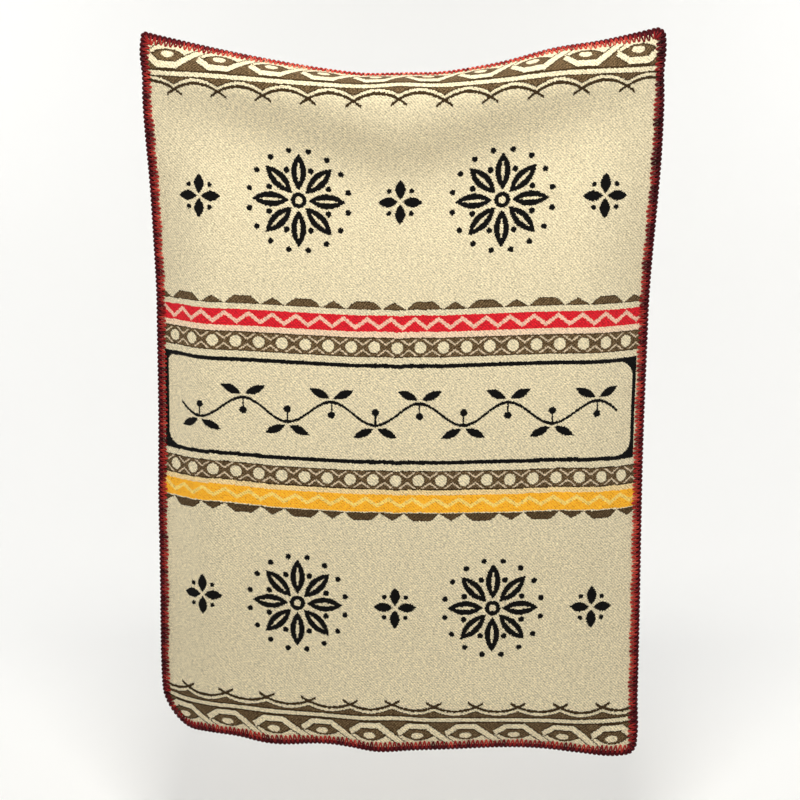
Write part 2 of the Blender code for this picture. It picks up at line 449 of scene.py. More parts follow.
def top_edge(across):
    """The height of the top edge: a sag between the corners, with a pucker in its middle."""
    power = np.where(across < 0.0, SAG_POWER_LEFT, SAG_POWER_RIGHT)
    sag = TOP_SAG * (1.0 - np.abs(across) ** power)
    return PUCKER_RISE * bump(across, 0.0, PUCKER_WIDTH) + TOP_RISE_RIGHT * across - sag


def hang():
    """The places of the hanging cloth in a table over its flat sizes, neither stretched nor pressed."""
    columns = 2 * round(WIDTH / TABLE_STEP / 2)
    rows = round(LENGTH / TABLE_STEP)
    across, down = np.meshgrid(
        np.linspace(-1.0, 1.0, columns + 1), np.linspace(0.0, LENGTH, rows + 1), indexing="ij"
    )
    step_a = WIDTH / columns
    step_b = LENGTH / rows
    turns = side_turns(across, down)
    slope = fall_angles(across, down) + np.gradient(turns, step_b, axis=1)
    slope = np.clip(slope, -STEEPEST, STEEPEST)
    slope = (slope[:, 1:] + slope[:, :-1]) / 2.0
    forward = np.zeros_like(down)
    forward[:, 1:] = np.cumsum(slope, axis=1) * step_b
    forward = forward + turns[:, :1] - TOP_SET_BACK * (1.0 - across[:, :1] ** 2)
    height = np.zeros_like(down)
    height[:, 1:] = -np.cumsum(np.sqrt(1.0 - slope**2), axis=1) * step_b
    height = height + top_edge(across[:, :1]) - BIAS_DROP * across * down / LENGTH
    run = 1.0 - (np.diff(forward, axis=0) / step_a) ** 2 - (np.diff(height, axis=0) / step_a) ** 2
    side = np.zeros_like(down)
    side[1:] = np.cumsum(np.sqrt(np.clip(run, 1.0 - STEEPEST, 1.0)), axis=0) * step_a
    side = side - side[columns // 2] + BIAS_LEAN * down / LENGTH
    for at, low, reach_across, reach_down, right, up in SMALL_SHIFTS:
        share = bump(across, at, reach_across) * bump(down / LENGTH, low, reach_down)
        side = side + share * right
        height = height + share * up
    places = np.stack([side, -forward, height], axis=-1)
    return places - places[columns // 2, 0]


def fronts(table):
    """The direction out of the cloth's front at each place of the table."""
    return unit(np.cross(np.gradient(table, axis=1), np.gradient(table, axis=0)))


TABLE = hang()
FRONTS = fronts(TABLE)


def look_up(table, a, b):
    """Values between the places of a table, for arrays of flat a and b."""
    size_a, size_b = table.shape[0] - 1, table.shape[1] - 1
    x = np.clip(a / WIDTH * size_a, 0.0, size_a - 1e-6)
    y = np.clip(b / LENGTH * size_b, 0.0, size_b - 1e-6)
    i, j = x.astype(int), y.astype(int)
    u, v = (x - i)[..., None], (y - j)[..., None]
    top = table[i, j] * (1.0 - u) + table[i + 1, j] * u
    low = table[i, j + 1] * (1.0 - u) + table[i + 1, j + 1] * u
    return top * (1.0 - v) + low * v


def cloth_points(a, b, out):
    """Points at flat a and b, standing out from the cloth's middle surface towards the front."""
    return look_up(TABLE, a, b) + unit(look_up(FRONTS, a, b)) * np.asarray(out)[..., None]


def round_corners(a, b):
    """Draws flat places near a corner in, onto arcs that are as far from the round edge."""
    right, low = a > WIDTH / 2, b > LENGTH / 2
    radius = np.where(
        low,
        np.where(right, CORNER_RADII["bottom_right"], CORNER_RADII["bottom_left"]),
        np.where(right, CORNER_RADII["top_right"], CORNER_RADII["top_left"]),
    )
    in_a = np.where(right, WIDTH - a, a)
    in_b = np.where(low, LENGTH - b, b)
    inside = (in_a < radius) & (in_b < radius)
    reach = np.where(inside, radius - np.minimum(in_a, in_b), 1.0)
    angle = math.pi / 4.0 * (radius - np.maximum(in_a, in_b)) / reach
    near, far = radius - reach * np.cos(angle), radius - reach * np.sin(angle)
    new_a = np.where(inside, np.where(in_a < in_b, near, far), in_a)
    new_b = np.where(inside, np.where(in_a < in_b, far, near), in_b)
    return np.where(right, WIDTH - new_a, new_a), np.where(low, LENGTH - new_b, new_b)


def make_camera():
    data = bpy.data.cameras.new("camera")
    camera = bpy.data.objects.new("camera", data)
    bpy.context.scene.collection.objects.link(camera)
    pitch, yaw = math.radians(CAMERA_PITCH), math.radians(CAMERA_YAW)
    forward = Vector((-math.sin(yaw) * math.cos(pitch), math.cos(yaw) * math.cos(pitch), -math.sin(pitch)))
    camera.location = Vector(CAMERA_AIM) - forward * CAMERA_DISTANCE
    camera.rotation_euler = forward.to_track_quat("-Z", "Y").to_euler()
    data.sensor_width = SENSOR
    data.lens = FOCAL_PIXELS / IMAGE_SIZE * SENSOR
    bpy.context.scene.camera = camera


def make_mesh(name, points, faces, material):
    mesh = bpy.data.meshes.new(name)
    mesh.from_pydata(points.tolist(), [], faces)
    mesh.validate()
    mesh.materials.append(material)
    mesh.shade_smooth()
    obj = bpy.data.objects.new(name, mesh)
    bpy.context.scene.collection.objects.link(obj)
    return obj


def add_flat_map(obj, a, b):
    """A UV map that holds each vertex's flat place in metres."""
    mesh = obj.data
    layer = mesh.uv_layers.new(name="flat")
    index = np.empty(len(mesh.loops), dtype=np.int32)
    mesh.loops.foreach_get("vertex_index", index)
    layer.data.foreach_set("uv", np.stack([a[index], b[index]], axis=-1).astype(np.float32).ravel())


def add_values(obj, name, values):
    """A number at each vertex, that the material reads by its name."""
    layer = obj.data.attributes.new(name, "FLOAT", "POINT")
    layer.data.foreach_set("value", np.asarray(values, dtype=np.float32).ravel())


def grid_faces(columns, rows, start, turned):
    """The quads of a grid whose vertices run down each column in turn."""
    faces = []
    for i in range(columns):
        for j in range(rows):
            corner = start + i * (rows + 1) + j
            quad = (corner, corner + 1, corner + rows + 2, corner + rows + 1)
            faces.append(quad[::-1] if turned else quad)
    return faces


def make_cloth(material):
    """The woven cloth as one closed sheet, with a front and a back on the same flat places."""
    inset = EDGING_THICK + NOSE_GAP
    columns, rows = CLOTH_COLUMNS, CLOTH_ROWS
    a, b = np.meshgrid(
        np.linspace(inset, WIDTH - inset, columns + 1),
        np.linspace(inset, LENGTH - inset, rows + 1),
        indexing="ij",
    )
    a, b = round_corners(a.ravel(), b.ravel())
    half = np.full(len(a), CLOTH_THICK / 2.0)
    points = np.concatenate([cloth_points(a, b, half), cloth_points(a, b, -half)])
    back = len(a)
    faces = grid_faces(columns, rows, 0, False) + grid_faces(columns, rows, back, True)
    rim = [i * (rows + 1) for i in range(columns + 1)]
    rim += [columns * (rows + 1) + j for j in range(1, rows + 1)]
    rim += [i * (rows + 1) + rows for i in range(columns - 1, -1, -1)]
    rim += [j for j in range(rows - 1, 0, -1)]
    for here, there in zip(rim, rim[1:] + rim[:1]):
        faces.append((here, there, there + back, here + back))
    cloth = make_mesh("woven_cloth", points, faces, material)
    add_flat_map(cloth, np.tile(a, 2), np.tile(b, 2))
    return cloth


class Value:
    """A number at each point of a surface. Sums with it add Math nodes, so a pattern reads as a formula."""

    def __init__(self, tree, socket):
        self.tree = tree
        self.socket = socket

    def math(self, operation, *others):
        node = self.tree.nodes.new("ShaderNodeMath")
        node.operation = operation
        for place, value in enumerate((self, *others)):
            if isinstance(value, Value):
                self.tree.links.new(value.socket, node.inputs[place])
            else:
                node.inputs[place].default_value = value
        return Value(self.tree, node.outputs[0])

    def __add__(self, other):
        return self.math("ADD", other)

    def __sub__(self, other):
        return self.math("SUBTRACT", other)

    def __mul__(self, other):
        return self.math("MULTIPLY", other)

    def __abs__(self):
        return self.math("ABSOLUTE")

    def __lt__(self, other):
        return self.math("LESS_THAN", other)

    def __gt__(self, other):
        return self.math("GREATER_THAN", other)

    def __and__(self, other):
        return self.math("MULTIPLY", other)

    def __or__(self, other):
        return self.math("MAXIMUM", other)

    def near(self, place, half):
        """1 within half of place, and 0 outside."""
        return self.math("COMPARE", place, half)

    def between(self, low, high):
        return self.near((low + high) / 2.0, (high - low) / 2.0)

    def over_and_over(self, first, pitch):
        """How far this lies from the nearest of many places that stand a pitch apart."""
        return (self - first).math("WRAP", pitch / 2.0, -pitch / 2.0)

    def above_zero(self):
        return self.math("MAXIMUM", 0.0)

    def scaled(self, factor, plus):
        return self.math("MULTIPLY_ADD", factor, plus)

    def square(self):
        return self * self


def ellipse(x, y, half_x, half_y):
    """1 inside an ellipse about the place where x and y are 0."""
    return ((x * (1.0 / half_x)).square() + (y * (1.0 / half_y)).square()) < 1.0


def blend(tree, low, high, share):
    """A colour between two, by a share at each point. Each is a colour or a socket that gives one."""
    node = tree.nodes.new("ShaderNodeMix")
    node.data_type = "RGBA"
    tree.links.new(share.socket, node.inputs["Factor"])
    for colour, place in ((low, node.inputs[6]), (high, node.inputs[7])):
        if isinstance(colour, bpy.types.NodeSocket):
            tree.links.new(colour, place)
        else:
            place.default_value = (*colour, 1.0)
    return node.outputs[2]


class Paint:
    """Coats of colour, each laid over the last where a mask is 1."""

    def __init__(self, tree, ground, streaks):
        self.tree = tree
        self.top = ground
        self.streaks = streaks

    def lay(self, colour, mask):
        self.top = blend(self.tree, self.top, colour, mask)

    def shade(self, value):
        """Makes all the coats so far darker or brighter by a value."""
        node = self.tree.nodes.new("ShaderNodeVectorMath")
        node.operation = "SCALE"
        self.tree.links.new(self.top, node.inputs[0])
        self.tree.links.new(value.socket, node.inputs["Scale"])
        self.top = node.outputs[0]


def weft_bow(a, b):
    """How much lower a woven row lies than a straight one: the rows wander a little across the cloth."""
    middle = abs(a - WIDTH / 2.0).scaled(-1.0 / BOW_REACH, 1.0).above_zero().square() * BOW_MIDDLE
    edge = a.scaled(-1.0 / BOW_REACH, 1.0).above_zero().square() * BOW_EDGE
    upper = abs(b - BOW_ROW).scaled(*BOW_FADE).above_zero().math("MINIMUM", 1.0)
    lower = abs(b - LIFT_ROW).scaled(*LIFT_FADE).above_zero().math("MINIMUM", 1.0)
    left_wave = abs(a - LEFT_WAVE_AT).scaled(-1.0 / WAVE_REACH, 1.0).above_zero()
    right_wave = abs(a - RIGHT_WAVE_AT).scaled(-1.0 / WAVE_REACH, 1.0).above_zero()
    lift = (left_wave * LEFT_WAVE + right_wave * RIGHT_WAVE).scaled(1.0, LIFT)
    return (middle + edge) * upper + (middle - lift) * lower


def rope_band(paint, a, e):
    """The cream rope with an eyelet in each turn, between the edging and a brown line."""
    t = a.over_and_over(EYELET_FIRST, EYELET_PITCH)
    y = e - ROPE_FROM
    rise = (t - ROPE_TURN_LEFT).math("MINIMUM", 0.0) * ROPE_RISE
    fall = (t - ROPE_TURN_RIGHT).above_zero() * -ROPE_FALL
    turn = (rise + fall).scaled(1.0, ROPE_ARM_ROW)
    last_arm = (t + (EYELET_PITCH - ROPE_TURN_RIGHT)).scaled(-ROPE_FALL, ROPE_ARM_ROW)
    arm = abs(e - turn)
    crossing = abs(e - last_arm)
    half = t.near(0.0, ROPE_PINCH_REACH).scaled(-ROPE_ARM_PINCH, ROPE_ARM_HALF)
    eye = lens(t - EYE_SHIFT, abs(y), 0.0, *EYE_HALVES)
    inner_eye = lens(t - EYE_SHIFT, abs(y), 0.0, *EYE_INNER_HALVES)
    fill = e.between(ROPE_FILL_FROM, ROPE_TO) | inner_eye
    reach = (t + (e - ROPE_FROM) * ROPE_ARM_SLANT) > ROPE_ARM_FROM
    paint.lay(DARK_BROWN, eye | e.between(ROPE_FROM, ROPE_TO))
    paint.lay(paint.streaks, fill)
    outline = (arm < half + ROPE_OUTLINE) & reach & (e < ROPE_TO)
    paint.lay(DARK_BROWN, outline | e.between(ROPE_LINE_FROM, ROPE_TO))
    inside = (arm < half) & reach & (e < ROPE_LINE_FROM)
    paint.lay(CREAM, inside | ellipse(t, y, *EYELET_HALVES))
    paint.lay(DARK_BROWN, crossing < ROPE_CROSSING_HALVES[0])
    paint.lay(CREAM, crossing < ROPE_CROSSING_HALVES[1])


def scallops(paint, a, e, upper):
    """Brown arcs that cross one another, over a filled brown line."""
    t = abs(a.over_and_over(SCALLOP_FIRST, SCALLOP_PITCH))
    half = SCALLOP_PITCH / 2.0
    rise = upper.scaled(SCALLOP_RISE - LOW_SCALLOP_RISE, LOW_SCALLOP_RISE)
    arc = (((t - half) * (1.0 / half)).square() - 1.0) * rise + SCALLOP_CROSS
    tail = (((t + half) * (1.0 / half)).square() - 1.0) * rise + SCALLOP_CROSS
    tails = (abs(e - tail) < SCALLOP_LINE) & (t < SCALLOP_TAIL)
    paint.lay(DARK_BROWN, (abs(e - arc) < SCALLOP_LINE) | tails)
    for colour, gap in zip((DARK_BROWN, paint.streaks), SCALLOP_FILL_GAPS):
        paint.lay(colour, (e > SCALLOP_LINE_FROM) & (e < arc - gap))
    paint.lay(DARK_BROWN, e.between(SCALLOP_LINE_FROM, SCALLOP_LINE_FROM + SCALLOP_LINE))


def humps(paint, a, m, upper):
    """Round humps and small triangles by turns, along the outer side of each coloured band."""
    t = abs(a.over_and_over(HUMP_FIRST, HUMP_PITCH))
    y = m - upper.scaled(HUMP_ROW_RISE, HUMP_ROW)
    triangle = t.scaled(-TRIANGLE_RISE / TRIANGLE_HALF, TRIANGLE_RISE)
    u = t.scaled(-1.0, HUMP_PITCH / 2.0) * (1.0 / HUMP_HALF)
    hump = u.square().scaled(-HUMP_RISE, HUMP_RISE).math("MINIMUM", HUMP_TOP)
    height = triangle.math("MAXIMUM", hump)
    paint.lay(DARK_BROWN, (y > 0.0) & (y < height))
    inside = (y > HUMP_LINE) & (y < height - HUMP_LINE)
    paint.lay(paint.streaks, inside & upper.scaled(1.0 - LOW_HUMP_FILL, LOW_HUMP_FILL))


def coloured_bands(paint, a, m, upper):
    """The red band above and the yellow one below, each with a pale zigzag line."""
    wave = (a - ZIGZAG_FIRST).math("PINGPONG", ZIGZAG_PITCH / 2.0) * (2.0 / ZIGZAG_PITCH)
    lower = upper < 0.5
    paint.lay(PINK_CREAM, m.between(BAND_FROM, RED_BAND[0]) & upper)
    paint.lay(PEACH, m.between(BAND_FROM, YELLOW_BAND[0]) & lower)
    paint.lay(RED, m.between(*RED_BAND) & upper)
    paint.lay(YELLOW, m.between(*YELLOW_BAND) & lower)
    red_line = abs(m - wave.scaled(*RED_ZIGZAG)) < RED_ZIGZAG_HALF
    yellow_line = abs(m - wave.scaled(*YELLOW_ZIGZAG)) < YELLOW_ZIGZAG_HALF
    paint.lay(PINK, red_line & upper)
    paint.lay(PALE_YELLOW, yellow_line & lower)


def bead_bands(paint, a, m):
    """Cream discs on brown, with thin pale chevrons above and below where the gaps between them are."""
    t = a.over_and_over(BEAD_FIRST, BEAD_PITCH)
    y = abs(m - BEAD_ROW)
    u = abs(t).scaled(-1.0, BEAD_PITCH / 2.0)
    paint.lay(paint.streaks, y < BEAD_HALF)
    paint.lay(DARK_BROWN, y.between(BEAD_HALF - BEAD_LINE, BEAD_HALF))
    chevron = abs(y - u.scaled(CHEVRON_SLOPE, CHEVRON_FROM)) < CHEVRON_HALF
    paint.lay(CHEVRON, chevron & (y < CHEVRON_TO))
    paint.lay(CREAM, ellipse(t, y, BEAD_RADIUS, BEAD_RADIUS))


def black_frame(paint, a, m, upper):
    """The black line round the middle panel, with its corners filled to a round, least at the upper left."""
    middle = (FRAME_LEFT + WIDTH - FRAME_RIGHT) / 2.0
    half = WIDTH - FRAME_RIGHT - middle
    x = abs(a - middle)
    sharp = upper & (a < middle)
    rounding = sharp.scaled(FRAME_SHARP - FRAME_ROUND, FRAME_ROUND)
    in_x = (x - (half - FRAME_LINE) + rounding).above_zero()
    in_y = (m - (FRAME_HALF - FRAME_LINE) + rounding).above_zero()
    outside = (in_x.square() + in_y.square()) > rounding.square()
    paint.lay(BLACK, outside & (x < half) & (m < FRAME_HALF))


def lens(along, off, middle, half_length, half_width):
    """1 inside a pointed leaf that lies along an axis, about its middle."""
    return off < ((along - middle) * (1.0 / half_length)).square().scaled(-half_width, half_width)


def turned(x, y, spokes):
    """How far a place lies from the centre, and along and off the nearest of so many spokes."""
    reach = (x.square() + y.square()).math("SQRT")
    angle = y.math("ARCTAN2", x).math("PINGPONG", math.pi / spokes)
    return reach, reach * angle.math("COSINE"), reach * angle.math("SINE")


def disc_at(along, off, distance, angle, radius):
    """1 inside a disc that stands at a distance from the centre, turned by an angle from a spoke."""
    x = along - distance * math.cos(angle)
    y = off - distance * math.sin(angle)
    return ellipse(x, y, radius, radius)


def rosettes(x, y):
    """Eight slit petals round an open centre, with dots between them and a ring of dots outside."""
    reach, along, off = turned(x, y, 8.0)
    petal = lens(along, off, *PETAL)
    slit = lens(along, off, *PETAL_SLIT)
    dot = disc_at(along, off, DOT_RING, math.pi / 8.0, DOT_RADIUS)
    outer_dot = disc_at(along, off, OUTER_RING, math.pi / 16.0, OUTER_DOT_RADIUS)
    return (petal & (slit < 0.5)) | dot | outer_dot | reach.between(*CENTRE_RING)


def flowers(x, y):
    """Four petals round a point, with a dot between each two."""
    _, along, off = turned(x, y, 4.0)
    dot = ellipse(along - FLOWER_DOT_AT, off - FLOWER_DOT_AT, FLOWER_DOT_RADIUS, FLOWER_DOT_RADIUS)
    return lens(along, off, *FLOWER_PETAL) | dot


def vine(a, b):
    """A running wave with a pair of leaves outside each bend and a berry inside it."""
    way = ((a - VINE_FIRST) * (2.0 * math.pi / VINE_WAVE)).math("SINE").math("SIGN")
    y = (b - MIDDLE_LINE) * way
    t = abs(a.over_and_over(VINE_FIRST + VINE_WAVE / 4.0, VINE_WAVE / 2.0))
    crest = (t * (2.0 * math.pi / VINE_WAVE)).math("COSINE") * VINE_RISE
    stem = abs(y - crest) < STEM_HALF
    right, up = t - LEAF_AT[0], y - LEAF_AT[1]
    along = right * LEAF_LEAN[0] + up * LEAF_LEAN[1]
    off = abs(up * LEAF_LEAN[0] - right * LEAF_LEAN[1])
    leaf = lens(along, off, 0.0, *LEAF_HALVES)
    berry = ellipse(t, y + BERRY_DROP, BERRY_RADIUS, BERRY_RADIUS)
    stalk = (t < STALK_HALF) & y.between(0.0, VINE_RISE)
    inside = a.between(VINE_FIRST - VINE_MARGIN, VINE_LAST + VINE_MARGIN)
    return (stem | leaf | berry | stalk) & inside


def black_motifs(paint, a, b, e):
    t = a.over_and_over(FIELD_FIRST, FIELD_PITCH)
    y = e - FIELD_ROW
    far = abs(t).scaled(-1.0, FIELD_PITCH / 2.0)
    motifs = (rosettes(far, y) | flowers(t, y)) & (abs(y) < ROSETTE_HALF)
    panel = abs(b - MIDDLE_LINE) < FRAME_HALF
    paint.lay(BLACK, motifs | (vine(a, b) & panel))


def noise(tree, vector, scale, detail=2.0):
    node = tree.nodes.new("ShaderNodeTexNoise")
    tree.links.new(vector, node.inputs["Vector"])
    node.inputs["Scale"].default_value = scale
    node.inputs["Detail"].default_value = detail
    return node


def white_noise(tree, a, b):
    """A number that differs from one woven cell to the next."""
    place = tree.nodes.new("ShaderNodeCombineXYZ")
    tree.links.new(a.socket, place.inputs["X"])
    tree.links.new(b.socket, place.inputs["Y"])
    node = tree.nodes.new("ShaderNodeTexWhiteNoise")
    tree.links.new(place.outputs["Vector"], node.inputs["Vector"])
    return Value(tree, node.outputs["Value"])


def stretched(tree, vector, scale):
    node = tree.nodes.new("ShaderNodeMapping")
    tree.links.new(vector, node.inputs["Vector"])
    node.inputs["Scale"].default_value = scale
    return node.outputs["Vector"]


def new_material(name, roughness):
    material = bpy.data.materials.new(name)
    material.use_nodes = True
    shader = material.node_tree.nodes["Principled BSDF"]
    shader.inputs["Roughness"].default_value = roughness
    shader.inputs["Specular IOR Level"].default_value = WOOL_SPECULAR
    shader.inputs["Sheen Weight"].default_value = WOOL_SHEEN
    shader.inputs["Sheen Roughness"].default_value = SHEEN_ROUGHNESS
    return material, material.node_tree, shader


def cloth_material():
    material, tree, shader = new_material("cream_wool", CLOTH_ROUGHNESS)
    place = tree.nodes.new("ShaderNodeUVMap")
    place.uv_map = "flat"
    flat = place.outputs["UV"]
    rough = noise(tree, flat, ROUGH_SCALE, 1.0)
    split = tree.nodes.new("ShaderNodeSeparateXYZ")
    tree.links.new(flat, split.inputs["Vector"])
    shift = tree.nodes.new("ShaderNodeSeparateXYZ")
    tree.links.new(rough.outputs["Color"], shift.inputs["Vector"])
    across, down = Value(tree, split.outputs["X"]), Value(tree, split.outputs["Y"])
    a = across + Value(tree, shift.outputs["X"]).scaled(ROUGH_SHIFT, -ROUGH_SHIFT / 2.0)
    b = down + Value(tree, shift.outputs["Y"]).scaled(ROUGH_SHIFT, -ROUGH_SHIFT / 2.0)
    a = a.math("SNAP", CELL) + CELL / 2.0
    b = b.math("SNAP", CELL) + CELL / 2.0
    b = b - weft_bow(a, b)
    e = b.math("PINGPONG", LENGTH / 2.0)
    m = abs(b - MIDDLE_LINE)
    upper = b < MIDDLE_LINE
    threads = Value(tree, noise(tree, stretched(tree, flat, THREAD_SCALE), 1.0).outputs["Fac"])
    patches = Value(tree, noise(tree, flat, PATCH_SCALE, 3.0).outputs["Fac"])
    flecks = (threads + patches.scaled(FLECK_PATCHES, -FLECK_PATCHES / 2.0)) - FLECK_FROM
    slant = (across - down) * (DIAGONAL / WEFT_PITCH)
    twill = (slant + threads * TWILL_WANDER).math("PINGPONG", 0.5)
    slant = (across + down) * (DIAGONAL / STREAK_PITCH)
    streak = (slant + threads * STREAK_WANDER).math("PINGPONG", 0.5) * 2.0
    paint = Paint(tree, CREAM, blend(tree, DARK_BROWN, LIGHT_BROWN, streak * streak))
    paint.lay(FLECK, (flecks.above_zero() * FLECK_GAIN).math("MINIMUM", FLECK_MOST))
    rope_band(paint, a, e)
    scallops(paint, a, e, upper)
    humps(paint, a, m, upper)
    coloured_bands(paint, a, m, upper)
    bead_bands(paint, a, m)
    black_frame(paint, a, m, upper)
    black_motifs(paint, a, b, e)
    grain = Value(tree, noise(tree, stretched(tree, flat, GRAIN_SCALE), 1.0).outputs["Fac"])
    tones = grain.scaled(*GRAIN_SHADE) + white_noise(tree, a, b) * DOT_SHADE + patches * PATCH_SHADE
    paint.shade(tones - twill * TWILL_SHADE)
    tree.links.new(paint.top, shader.inputs["Base Color"])
    fuzz = Value(tree, noise(tree, flat, FUZZ_SCALE).outputs["Fac"])
    add_bump(tree, shader, fuzz - twill * TWILL_BUMP, *CLOTH_BUMP)
    return material


def yarn_material():
    """Plied yarn whose colour runs from maroon to bright red, darker on the knots and in the base."""
    material, tree, shader = new_material("red_yarn", YARN_ROUGHNESS)
    tone = tree.nodes.new("ShaderNodeAttribute")
    tone.attribute_name = "tone"
    place = tree.nodes.new("ShaderNodeTexCoord").outputs["Object"]
    fibres = Value(tree, noise(tree, place, FIBRE_SCALE).outputs["Fac"])
    ramp = tree.nodes.new("ShaderNodeValToRGB")
    for element in range(len(YARN_TONES) - 2):
        ramp.color_ramp.elements.new(0.5)
    for element, (at, colour) in zip(ramp.color_ramp.elements, YARN_TONES):
        element.position = at
        element.color = (*colour, 1.0)
    mixed = Value(tree, tone.outputs["Fac"]) + fibres.scaled(FIBRE_TONE, -FIBRE_TONE / 2.0)
    tree.links.new(mixed.socket, ramp.inputs["Fac"])
    tree.links.new(ramp.outputs["Color"], shader.inputs["Base Color"])
    add_bump(tree, shader, fibres, *YARN_BUMP)
    return material


def add_bump(tree, shader, height, distance, strength):
    node = tree.nodes.new("ShaderNodeBump")
    node.inputs["Distance"].default_value = distance
    node.inputs["Strength"].default_value = strength
    tree.links.new(height.socket, node.inputs["Height"])
    tree.links.new(node.outputs["Normal"], shader.inputs["Normal"])


class Edge:
    """The cloth's round-cornered outline, as stations that lie along it and the way in from each."""

    def __init__(self, lengths):
        radii = list(CORNER_RADII.values())
        runs = (WIDTH, LENGTH, WIDTH, LENGTH)
        self.pieces = list(zip(range(4), radii, radii[1:] + radii[:1], runs))
        self.total = sum(
            length - start - end + end * math.pi / 2.0 for _, start, end, length in self.pieces
        )
        places = [self.station(run) for run in lengths * self.total]
        self.base = np.array([place for place, _ in places])
        self.inward = np.array([way for _, way in places])

    def station(self, run):
        for side, start, end, length in self.pieces:
            straight = length - start - end
            if run <= straight:
                return self.face(side, start + run, 0.0), self.turn(side, 0.0)
            run -= straight
            if run <= end * math.pi / 2.0:
                angle = run / end
                along = length - end + end * math.sin(angle)
                return self.face(side, along, end * (1.0 - math.cos(angle))), self.turn(side, angle)
            run -= end * math.pi / 2.0
        return self.face(0, self.pieces[0][1], 0.0), self.turn(0, 0.0)

    @staticmethod
    def face(side, along, depth):
        """The flat place that lies so far along a side and so deep in from it, going clockwise."""
        return (
            (along, depth),
            (WIDTH - depth, along),
            (WIDTH - along, LENGTH - depth),
            (depth, LENGTH - along),
        )[side]

    @staticmethod
    def turn(side, angle):
        """The way in from a side, turned towards the next side by an angle."""
        along, depth = -math.sin(angle), math.cos(angle)
        return ((along, depth), (-depth, along), (-along, -depth), (depth, -along))[side]

    def points(self, depth, out):
        """Points so deep in from each station, and so far out from the cloth's middle surface."""
        depth = np.broadcast_to(depth, len(self.base))
        a = self.base[:, 0] + self.inward[:, 0] * depth
        b = self.base[:, 1] + self.inward[:, 1] * depth
        a = np.clip(a, depth, WIDTH - depth)
        b = np.clip(b, depth, LENGTH - depth)
        return cloth_points(a, b, np.broadcast_to(out, len(a)))


def ring_faces(start, rings, size, closed):
    """Quads between rings of points from start on, and from the last ring to the first if closed."""
    faces = []
    for i in range(rings if closed else rings - 1):
        here, there = start + i * size, start + (i + 1) % rings * size
        for j in range(size):
            after = (j + 1) % size
            faces.append((here + j, here + after, there + after, there + j))
    return faces


def tube_faces(start, rings, sides):
    """The quads of a tube whose points begin at start, and a cap on each end."""
    faces = ring_faces(start, rings, sides, False)
    last = start + (rings - 1) * sides
    return faces + [tuple(range(start, start + sides))[::-1], tuple(range(last, last + sides))]


def tube_points(path, radii, up):
    """Rings of points round a nearly straight path."""
    way = unit(path[-1] - path[0])
    across = unit(np.cross(way, up))
    up = np.cross(across, way)
    points = []
    for centre, radius in zip(path, radii):
        for turn in range(LEG_SIDES):
            angle = 2.0 * math.pi * turn / LEG_SIDES
            points.append(centre + (across * math.cos(angle) + up * math.sin(angle)) * radius)
    return points


def make_wrap(material, stitches):
    """The yarn close to the cloth: one dark sleeve over its edge, that the stitches stand out from."""
    stations = stitches * WRAP_PER_STITCH
    edge = Edge(np.arange(stations) / stations)
    inner = WRAP_SECTION[0][1]
    section = list(WRAP_SECTION)
    section += [(depth, -out) for depth, out in WRAP_SECTION[-2::-1]]
    section += [(EDGING_THICK + NOSE_GAP, -inner), (EDGING_THICK + NOSE_GAP, inner)]
    rows = [edge.points(depth, out) for depth, out in section]
    points = np.stack(rows, axis=1).reshape(-1, 3)
    faces = ring_faces(0, stations, len(section), True)
    wrap = make_mesh("yarn_wrap", points, faces, material)
    add_values(wrap, "tone", np.full(len(points), WRAP_TONE))
    return wrap


def scatter(number):
    """A share from 0 to 1 that differs from each number to the next, and is the same in each run."""
    return abs(math.sin(number * 12.9898) * 437.585) % 1.0


def stitch_tones_and_light(stitches):
    """How bright the yarn is at each stitch: long runs of maroon and of red, with small changes, and painted
    light that raises it along the top edge, where it faces up to the light.
    """
    run = np.arange(stitches) / stitches
    places, tones = zip(*TONE_AND_LIGHT_RUNS)
    # The slow runs carry painted light as well as the yarn's own colour: brighter along the top edge
    slow = np.interp(run, places, tones)
    return slow + sum(size * np.sin(np.arange(stitches) * rate + start) for size, rate, start in TONE_WAVES)


def make_legs(name, material, stitches, side):
    """The stitches' legs on one face of the cloth, as plump tubes from the edge to the stitch holes."""
    pairs = np.arange(stitches)
    holes = Edge(((pairs + 0.5) % stitches) / stitches)
    wave = sum(size * np.sin(pairs * rate + side * start) for size, rate, start in LEG_WAVES)
    # Each stitch's tone holds painted light: brighter along the top edge, where the yarn faces up
    base = stitch_tones_and_light(stitches)
    radii = [swell * LEG_RADIUS for _, _, swell in LEG_PATH]
    points, tones, faces = [], [], []
    for leg, (foot_share, tip_share) in enumerate(zip(LEG_FEET, LEG_TIPS)):
        foot = Edge(((pairs + foot_share) % stitches) / stitches)
        tip = Edge(((pairs + tip_share) % stitches) / stitches)
        rings = []
        for share, lift, _ in LEG_PATH:
            outer = foot.points(LEG_FROM, side * (CLOTH_THICK / 2.0 + lift))
            inner = tip.points(LEG_TO + wave, side * (CLOTH_THICK / 2.0 + lift))
            rings.append(outer * (1.0 - share) + inner * share)
        for k in range(stitches):
            faces += tube_faces(len(points), len(LEG_PATH), LEG_SIDES)
            points += tube_points([ring[k] for ring in rings], radii, front_at(holes, k) * side)
            tone = base[k] + LEG_TONE_SPREAD * scatter(2 * k + (leg == 0)) - LEG_TONE_DROP
            tones += [tone + LEG_TONE_RISE * share for share, _, _ in LEG_PATH for _ in range(LEG_SIDES)]
    legs = make_mesh(name, np.array(points), faces, material)
    add_values(legs, "tone", tones)
    return legs


def front_at(edge, k):
    """The direction out of the cloth's front, halfway in under one station of an edge."""
    a, b = edge.base[k] + edge.inward[k] * EDGING_DEPTH / 2.0
    return look_up(FRONTS, np.array([a]), np.array([b]))[0]


